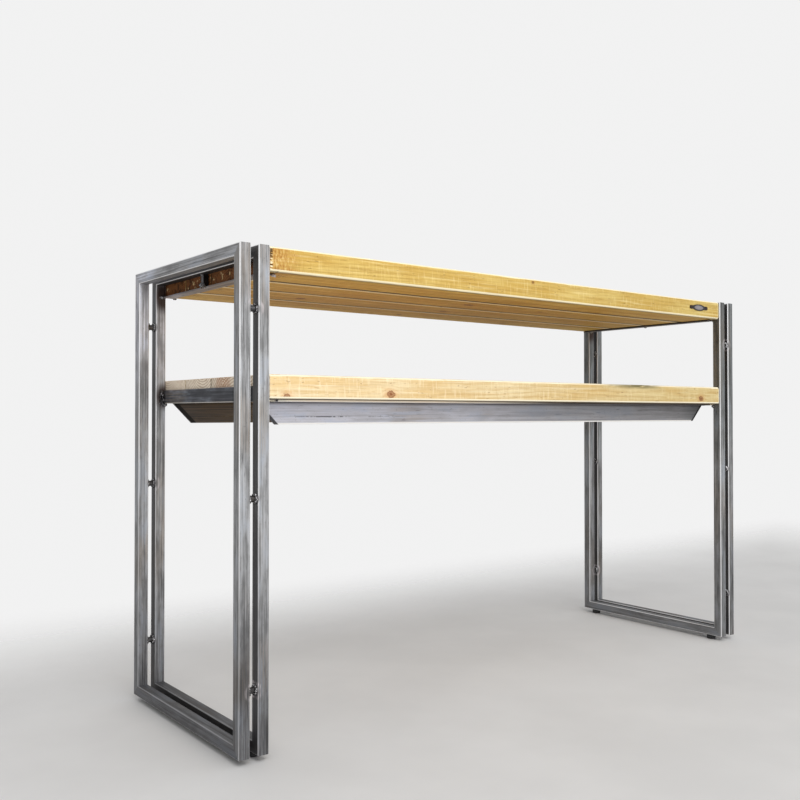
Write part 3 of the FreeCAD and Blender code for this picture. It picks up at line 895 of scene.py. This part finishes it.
def rail_marks(f, colour, turned, streak):
    """A shelf rail: painted light falling off from left to right, a painted highlight along its bottom edge,
    its sheared flange edge bright bare metal with a painted highlight, painted shade at the root and on the
    rear rail's front face, dark cut ends and a long shallow scratch.
    """
    low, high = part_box("rear_shelf_rail")
    # Painted light: lighter at the left end, falling off to the right.
    painted_falloff_tone = f.blend((f.x + (streak - 0.5) * 0.1).rise(-0.6, 0.55), (1.2, 1.2, 1.25), (0.66, 0.65, 0.65))
    upright = turned[1].rise(-0.6, -0.9)
    # Painted shade on the upright's upper part under the flange, darkest in a line just below it.
    root = f.z.rise(low.z + 0.0318, low.z + 0.0345)
    deep = f.z.rise(low.z + 0.0352, low.z + 0.0362) * f.z.rise(high.z + 0.001, high.z - 0.0035)
    line = (f.z - SCRATCH_HEIGHT + (streak - 0.5) * 0.005).near(0.0, 0.0011)
    run = f.x.rise(-0.545, -0.52) * f.x.rise(-0.41, -0.44)
    again = f.x.rise(-0.39, -0.38) * f.x.rise(-0.28, -0.32) * 0.5
    broken = f.cloud(f.scaled(f.place, (120, 1, 1)), 1.0, 2.0, 0.6).rise(0.36, 0.56)
    # Painted highlight along the bottom edge.
    foot = f.z.rise(low.z + 0.0032, low.z + 0.0018) * upright
    # The flange's sheared edge: bright bare metal with a painted highlight, fading to painted shade towards
    # the right.
    toe = abs(f.y).rise(high.y - 0.0012, high.y - 0.0004)
    toe_tone = f.blend(f.x.rise(-0.28, 0.12), BRIGHT, (0.06, 0.05, 0.045))
    # Painted shade on the rear rail's front face, under the shelf.
    behind = f.y.rise(0.1, 0.11) * upright
    shade = f.blend((streak + f.x * 0.5 + 0.25).rise(0.3, 0.7), (0.022, 0.016, 0.012), (0.12, 0.085, 0.045))
    inward = (high.x - abs(f.x)) - (high.z - f.z)
    rim = inward.rise(0.0085, 0.0065).at_most(behind).at_least(inward.rise(0.0045, 0.003))
    return f.coats(
        f.tinted(colour, painted_falloff_tone),
        (root * upright * 0.5, (0.10, 0.085, 0.09)),
        (deep * upright * 0.9, (0.03, 0.022, 0.015)),
        (line * (run + again).at_most(1.0) * broken * upright * 0.85, (0.05, 0.05, 0.055)),
        (foot * 0.95, (1.0, 0.98, 0.94)),
        (toe * 0.92, toe_tone),
        (behind * 0.93, shade),
        (rim * upright * 0.92, (0.008, 0.008, 0.008)),
        (abs(turned[0]).rise(0.4, 0.6) * 0.9, BLACK),
    )


def angle_marks(f, colour, turned, streak):
    """A shelf end angle: a painted highlight along its lower corner, bright on its front tip, and painted
    shade near the front.
    """
    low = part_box("left_shelf_angle")[0]
    # painted highlight along the lower corner
    edge = f.z.rise(low.z + 0.0015, low.z + 0.0006) * abs(turned[2]).rise(0.99, 0.9)
    tip = turned[1].rise(-0.7, -0.95) * f.z.rise(low.z + 0.0035, low.z + 0.0029)
    # painted shade near the front
    near = f.y.rise(-0.085, -0.10) * (1 - tip)
    return f.coats(
        colour,
        (edge * 0.8, (0.95, 0.90, 0.82)),
        (tip * 0.9, (0.95, 0.88, 0.74)),
        (near * 0.85, (0.012, 0.012, 0.013)),
    )


def bearer_marks(f, colour, turned, streak):
    """A bearer: painted shade, nearly black, on its edge towards the middle of the table."""
    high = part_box("left_top_bearer")[1]
    within = abs(f.x).rise(-high.x + 0.003, -high.x + 0.001)
    return f.blend(within * abs(turned[2]).rise(0.9, 0.4) * 0.9, colour, (0.015, 0.014, 0.013))


def strut_marks(f, colour, turned, streak):
    """A strut: painted shade, nearly black, on its front face."""
    return f.blend(turned[1].rise(-0.4, -0.8) * 0.9, colour, (0.010, 0.010, 0.010))


def dress_bars():
    cross = raw_steel(
        "hot_rolled_bar", "y", (0.06, 0.062, 0.07), (0.165, 0.175, 0.20),
        rough=0.42, metal=0.6, marks=angle_marks, worn=0.4,
    )
    short = raw_steel(
        "short_bar", "y", (0.24, 0.21, 0.205), (0.42, 0.37, 0.36),
        rough=0.46, metal=0.4, marks=bearer_marks, worn=0.2,
    )
    long = raw_steel(
        "hot_rolled_angle", "x", (0.38, 0.375, 0.38), (0.64, 0.64, 0.665),
        rough=0.48, metal=0.35, marks=rail_marks, worn=0.5, stark=0.55,
    )
    dark = raw_steel(
        "strut_bar", "z", (0.05, 0.05, 0.052), (0.22, 0.22, 0.23),
        rough=0.4, metal=0.6, marks=strut_marks, worn=0.25,
    )
    rod = raw_steel("spacer_rod", "x", (0.05, 0.05, 0.052), (0.24, 0.235, 0.235), rough=0.3, worn=0.0)
    for side in SIDES:
        for node, finish in (("top_bearer", short), ("bearer_strut", dark), ("shelf_angle", cross)):
            dress(f"{side}_{node}", finish)
            ease(f"{side}_{node}", 0.0004)
        for end in ENDS:
            dress(f"{side}_{end}_spacers", rod)
    for end in ENDS:
        dress(f"{end}_shelf_rail", long)
        ease(f"{end}_shelf_rail", 0.0006)


def add_welds(name, parts, metal):
    """Beads of weld as one piece."""
    add_piece(name, mesh_from(name, *gather(parts), smooth=60), "root", metal)


def out_and_in(side, low, high):
    """The X of a bar's outward and inward faces."""
    return (low.x, high.x) if side == "left" else (high.x, low.x)


def make_spacer_welds(metal):
    for side in SIDES:
        sign = -1 if side == "left" else 1
        for end in ENDS:
            radius, levels = spacer_levels(side, end)
            low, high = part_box(f"{side}_{end}_spacers")
            middle_y = (low.y + high.y) / 2
            parts = []
            for index, z in enumerate(levels):
                for x in (low.x, high.x):
                    seed = index * 7 + (3 if x == low.x else 11) + sign * 5 + (20 if end == "rear" else 0)
                    centre = Vector((x, middle_y, z))
                    parts.append(ring_bead(centre, ALONG, radius + 0.0008, 0.0031, seed))
            add_welds(f"{side}_{end}_spacer_welds", parts, metal)


def make_bar_welds(metal, silver):
    """Runs of weld that hold the bearers, the struts and the shelf angles to their end frames."""
    for side in SIDES:
        sign = -1 if side == "left" else 1
        parts = []
        bright = []
        low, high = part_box(f"{side}_top_bearer")
        outer, inner = out_and_in(side, low, high)
        for end, y in zip(ENDS, (low.y, high.y)):
            seed = 3 if end == "front" else 9
            height = (low.z + high.z) / 2
            start = Vector((outer + sign * 0.0085, y, height - 0.001))
            parts.append(bead(start, Vector((outer - sign * 0.004, y, height)), 0.0034, seed, 0.6))
            corner = Vector((inner + sign * 0.002, y, low.z - 0.0006))
            # The left front bearer's inner bead is larger and made silvery white as a painted highlight.
            kind = bright if (side, end) == ("left", "front") else parts
            size = 0.0027 if kind is bright else 0.0018
            kind.append(bead(corner, Vector((inner - sign * 0.0055, y, low.z)), size, seed + 1, 0.6))
        low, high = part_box(f"{side}_shelf_angle")
        back = out_and_in(side, low, high)[0]
        for end, y in zip(ENDS, (low.y, high.y)):
            seed = 13 if end == "front" else 19
            run = 0.0064 if end == "rear" else 0.0036
            foot = Vector((back + sign * 0.0035, y, low.z - 0.005))
            parts.append(bead(foot, Vector((back + sign * 0.004, y, high.z + 0.001)), run, seed, 0.5))
            parts.append(bead(foot, Vector((back - sign * 0.006, y, low.z - 0.0015)), 0.003, seed + 2, 0.5))
        low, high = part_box(f"{side}_bearer_strut")
        outside = out_and_in(side, low, high)[0]
        base = Vector((outside - sign * 0.0012, low.y - 0.0015, low.z + 0.001))
        base_end = Vector((outside - sign * 0.001, high.y + 0.002, low.z + 0.0012))
        parts.append(bead(base, base_end, 0.0042, 23, 0.9))
        head = Vector((outside, low.y, high.z))
        parts.append(bead(head, Vector((outside, high.y, high.z)), 0.002, 29, 0.5))
        add_welds(f"{side}_bar_welds", parts, metal)
        if bright:
            add_welds(f"{side}_bearer_highlight_weld", bright, silver)
    parts = []
    for end in ENDS:
        for side in SIDES:
            low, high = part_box(f"{side}_shelf_angle")
            rail_low, rail_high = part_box(f"{end}_shelf_rail")
            edge = out_and_in(side, low, high)[1]
            y0 = rail_low.y + 0.014
            y1 = rail_high.y - 0.004
            seed = 31 + len(parts)
            stop = Vector((edge, (y0 + y1) / 2, low.z + 0.0004))
            parts.append(bead(Vector((edge, y0, low.z)), stop, 0.0009, seed, 0.4))
    add_welds("shelf_rail_welds", parts, metal)


def screw_template():
    """A countersunk wood screw pointing up, its flush face at the origin, with a cross recess in it."""
    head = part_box("shelf_rail_screws")[1].x - SCREW_LINE
    profile = [(0.0003, 0.00005), (head - 0.0003, 0.00005), (head, 0.0003), (0.0023, 0.0023)]
    points, faces = lathe(profile, 36, Vector((0, 0, 0)))
    body = bpy.data.objects.new("screw_head", mesh_from("screw_head", points, faces))
    bpy.context.scene.collection.objects.link(body)
    cutters = []
    for turn in (0, 90):
        arm = bmesh.new()
        bmesh.ops.create_cube(arm, size=1.0)
        spin = Matrix.Rotation(math.radians(turn), 4, "Z")
        bmesh.ops.transform(arm, matrix=Matrix.Diagonal((0.0046, 0.0010, 0.0030, 1)), verts=arm.verts)
        for vert in arm.verts:
            if vert.co.z > 0:
                vert.co.x *= 0.35
        bmesh.ops.transform(arm, matrix=spin, verts=arm.verts)
        mesh = bpy.data.meshes.new(f"arm_{turn}")
        arm.to_mesh(mesh)
        arm.free()
        cutter = bpy.data.objects.new(f"arm_{turn}", mesh)
        bpy.context.scene.collection.objects.link(cutter)
        cut = body.modifiers.new(f"cut_{turn}", "BOOLEAN")
        cut.operation = "DIFFERENCE"
        cut.solver = "EXACT"
        cut.object = cutter
        cutters.append(cutter)
    bpy.context.view_layer.update()
    seen = body.evaluated_get(bpy.context.evaluated_depsgraph_get())
    made = bpy.data.meshes.new_from_object(seen)
    head_part = ([v.co.copy() for v in made.vertices], [tuple(p.vertices) for p in made.polygons])
    for thing in [body, *cutters]:
        bpy.data.objects.remove(thing)
    return gather([head_part, thread(0.00215, 0.0015, 0.002, SCREW_LENGTH, SCREW_PITCH, 12, 0.6)])


def thread(radius, core, bottom, top, pitch, turns, taper=1.0):
    """A threaded rod: one thread wound round a core, tapered shut near the top if taper is below 1."""
    rings = []
    rows = int((top - bottom) / pitch * 8)
    for row in range(rows + 1):
        z = bottom + (top - bottom) * row / rows
        ring = []
        point = 1.0 if taper == 1.0 else min(1.0, max(0.08, (top - z) / (radius * 3)))
        for i in range(turns):
            angle = 2 * math.pi * i / turns
            phase = (z / pitch - i / turns) % 1.0
            crest = 1 - abs(phase - 0.5) * 2
            size = core + (radius - core) * min(1.0, crest * 1.25)
            ring.append(Vector((size * point * math.cos(angle), size * point * math.sin(angle), z)))
        rings.append(ring)
    return skin(rings)


def set_of_screws(node, places, template, metal):
    """Copies of the screw at their seats, each turned its own way."""
    rng = random.Random(len(places) * 17 + len(node))
    parts = []
    for place in places:
        spin = Matrix.Rotation(rng.uniform(0, math.pi), 4, "Z")
        points = [place + spin @ p for p in template[0]]
        parts.append((points, template[1]))
    mesh = mesh_from(node + "_set", *gather(parts), smooth=35)
    add_piece(node + "_set", mesh, "root", metal, node)


def make_screws(metal):
    template = screw_template()
    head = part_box("shelf_rail_screws")[1].x - SCREW_LINE
    rows = (("bearer_screws", "top_bearer", "top"), ("shelf_angle_screws", "shelf_angle", "shelf"))
    for node, bar, layer in rows:
        low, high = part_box(node)
        places = []
        for x in (low.x + head, high.x - head):
            for place in LAYERS:
                plank_low, plank_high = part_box(f"{layer}_plank_{place}")
                for y in (plank_low.y + SCREW_FROM_EDGE, plank_high.y - SCREW_FROM_EDGE):
                    places.append(Vector((x, y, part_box(f"left_{bar}")[0].z)))
        set_of_screws(node, places, template, metal)
    low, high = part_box("shelf_rail_screws")
    places = []
    for x in (-SCREW_LINE, -SCREW_LINE / 3, SCREW_LINE / 3, SCREW_LINE):
        for y in (low.y + head, high.y - head):
            places.append(Vector((x, y, low.z)))
    set_of_screws("shelf_rail_screws", places, template, metal)


def make_feet(plastic, metal):
    for side in SIDES:
        for end in ENDS:
            stem = f"{side}_{end}_foot"
            low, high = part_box(stem + "_pad")
            centre = Vector(((low.x + high.x) / 2, (low.y + high.y) / 2, 0))
            radius = (high.x - low.x) / 2
            tall = high.z - low.z

            def ribbed(angle, out, z):
                inside = 0.0018 < z < tall - 0.0012 and out > radius * 0.9
                return out - (0.0004 * (0.5 + 0.5 * math.cos(angle * 36)) if inside else 0.0)

            profile = [(0.001, 0.0), (radius * 0.8, 0.0), (radius * 0.93, 0.0004), (radius * 0.985, 0.0012)]
            profile += [(radius, 0.002), (radius, 0.0028), (radius, tall * 0.5), (radius, tall - 0.0022)]
            profile += [(radius, tall - 0.0014), (radius * 0.975, tall - 0.0006), (radius * 0.93, tall)]
            profile += [(0.0048, tall), (0.0048, tall - 0.003), (0.001, tall - 0.003)]
            pad = mesh_from(stem + "_pad_moulded", *lathe(profile, 144, centre, ribbed), smooth=35)
            add_piece(stem + "_pad_moulded", pad, stem, plastic, stem + "_pad")
            stud_low, stud_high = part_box(stem + "_stud")
            points, faces = thread(0.004, 0.0034, stud_low.z, stud_high.z, THREAD_PITCH, 28)
            points = [centre + p for p in points]
            stud = mesh_from(stem + "_stud_thread", points, faces, smooth=40)
            add_piece(stem + "_stud_thread", stud, stem, metal, stem + "_stud")
    dress("foot_inserts", metal)


def make_planks():
    looks = plank_looks()
    for layer in ("top", "shelf"):
        for index, place in enumerate(LAYERS):
            node = f"{layer}_plank_{place}"
            low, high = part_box(node)
            look = looks[node]
            material = pine(node + "_pine", (low + high) / 2, high - low, look)
            front = OUTER_ARRIS if place == "front" else SEAM_ARRIS
            rear = OUTER_ARRIS if place == "rear" else SEAM_ARRIS
            seed = index * 3.7 + (20 if layer == "shelf" else 0)
            plank(node, seed, (front, rear, rear, front), material)


def make_plate():
    dress("nameplate", plate_metal("blackened_plate", (0.03, 0.028, 0.03), (0.30, 0.27, 0.29)))
    pin = plate_metal("blackened_pin", (0.03, 0.022, 0.018), (0.14, 0.10, 0.08))
    dress("nameplate_pins", pin)


# --- where it stands ---------------------------------------------------------


def make_floor():
    """A plain pale floor that fades into the backdrop."""
    shape = bmesh.new()
    bmesh.ops.create_circle(shape, cap_ends=True, radius=7.0, segments=96)
    mesh = bpy.data.meshes.new("floor")
    shape.to_mesh(mesh)
    shape.free()
    floor = bpy.data.objects.new("floor", mesh)
    bpy.context.scene.collection.objects.link(floor)
    f = Finish("pale_floor")
    soft = f.cloud(f.place, 2.2, 4.0, 0.6)
    colour = f.blend(soft.rise(0.3, 0.7), (0.665, 0.66, 0.655), (0.725, 0.72, 0.715))
    f.finish(colour, 0.55 + 0.15 * soft)
    away = (f.x * f.x + f.y * f.y) ** 0.5
    clear = f.tree.nodes.new("ShaderNodeBsdfTransparent")
    mixed = f.tree.nodes.new("ShaderNodeMixShader")
    f.feed(mixed.inputs[0], away.rise(1.6, 3.4).at_least(f.y.rise(0.28, 1.15)))
    f.tree.links.new(f.shader.outputs[0], mixed.inputs[1])
    f.tree.links.new(clear.outputs[0], mixed.inputs[2])
    output = next(n for n in f.tree.nodes if n.type == "OUTPUT_MATERIAL")
    f.tree.links.new(mixed.outputs[0], output.inputs["Surface"])
    mesh.materials.append(f.material)


class Sky(Finish):
    """The studio's light by direction: a broad soft wall of light in front, less at the sides and behind."""

    def __init__(self, world):
        self.tree = world.node_tree
        self.tree.nodes.clear()
        self.shader = self.tree.nodes.new("ShaderNodeBackground")
        output = self.tree.nodes.new("ShaderNodeOutputWorld")
        self.tree.links.new(self.shader.outputs[0], output.inputs["Surface"])
        self.place = self.node("ShaderNodeTexCoord", out="Generated")
        self.x, self.y, self.z = self.split(self.place)


def make_light():
    scene = bpy.context.scene
    scene.view_settings.view_transform = "Standard"
    scene.view_settings.look = "None"
    scene.view_settings.exposure = 0.0
    scene.view_settings.gamma = 1.0
    world = bpy.data.worlds.new("studio")
    world.use_nodes = True
    scene.world = world
    sky = Sky(world)
    front = (sky.y * -0.95 + sky.z * 0.3).at_least(0.0)
    above = sky.z.at_least(0.0)
    wall = sky.y.rise(0.5, 0.95)
    right = sky.x.at_least(0.0)
    glow = 0.3 + 1.0 * front * front + 0.26 * wall + 0.45 * above * above + 0.6 * right ** 8
    seen = sky.node("ShaderNodeLightPath", out="Is Camera Ray")
    sky.feed(sky.shader.inputs["Color"], (1.0, 1.0, 1.0))
    sky.feed(sky.shader.inputs["Strength"], seen * BACKDROP + (1 - seen) * glow)
    lamp = bpy.data.lights.new("key", "AREA")
    lamp.shape = "RECTANGLE"
    lamp.size = 1.8
    lamp.size_y = 1.2
    lamp.energy = KEY_POWER
    key = bpy.data.objects.new("key", lamp)
    key.location = KEY_PLACE
    aim = Vector(KEY_AIM) - Vector(KEY_PLACE)
    key.rotation_euler = aim.to_track_quat("-Z", "Y").to_euler()
    key.visible_camera = False
    scene.collection.objects.link(key)


def make_camera():
    """The eye is low at the front left, looking past the near end frame along the table."""
    lens = bpy.data.cameras.new("camera")
    lens.lens = EYE_LENS
    lens.sensor_width = 36
    lens.clip_start = 0.05
    lens.clip_end = 60
    eye = bpy.data.objects.new("camera", lens)
    eye.location = EYE_PLACE
    eye.rotation_euler = [math.radians(turn) for turn in EYE_TURN]
    bpy.context.scene.collection.objects.link(eye)
    bpy.context.scene.camera = eye


def build():
    make_camera()
    make_light()
    make_floor()
    dress_tubes()
    dress_bars()
    make_planks()
    beads = bead_steel()
    make_spacer_welds(beads)
    make_bar_welds(beads, painted_highlight_bead())
    zinc = screw_steel("bright_zinc", 1.0)
    make_screws(screw_steel("dull_screw", 0.36))
    make_feet(foot_rubber(), zinc)
    make_plate()


build()
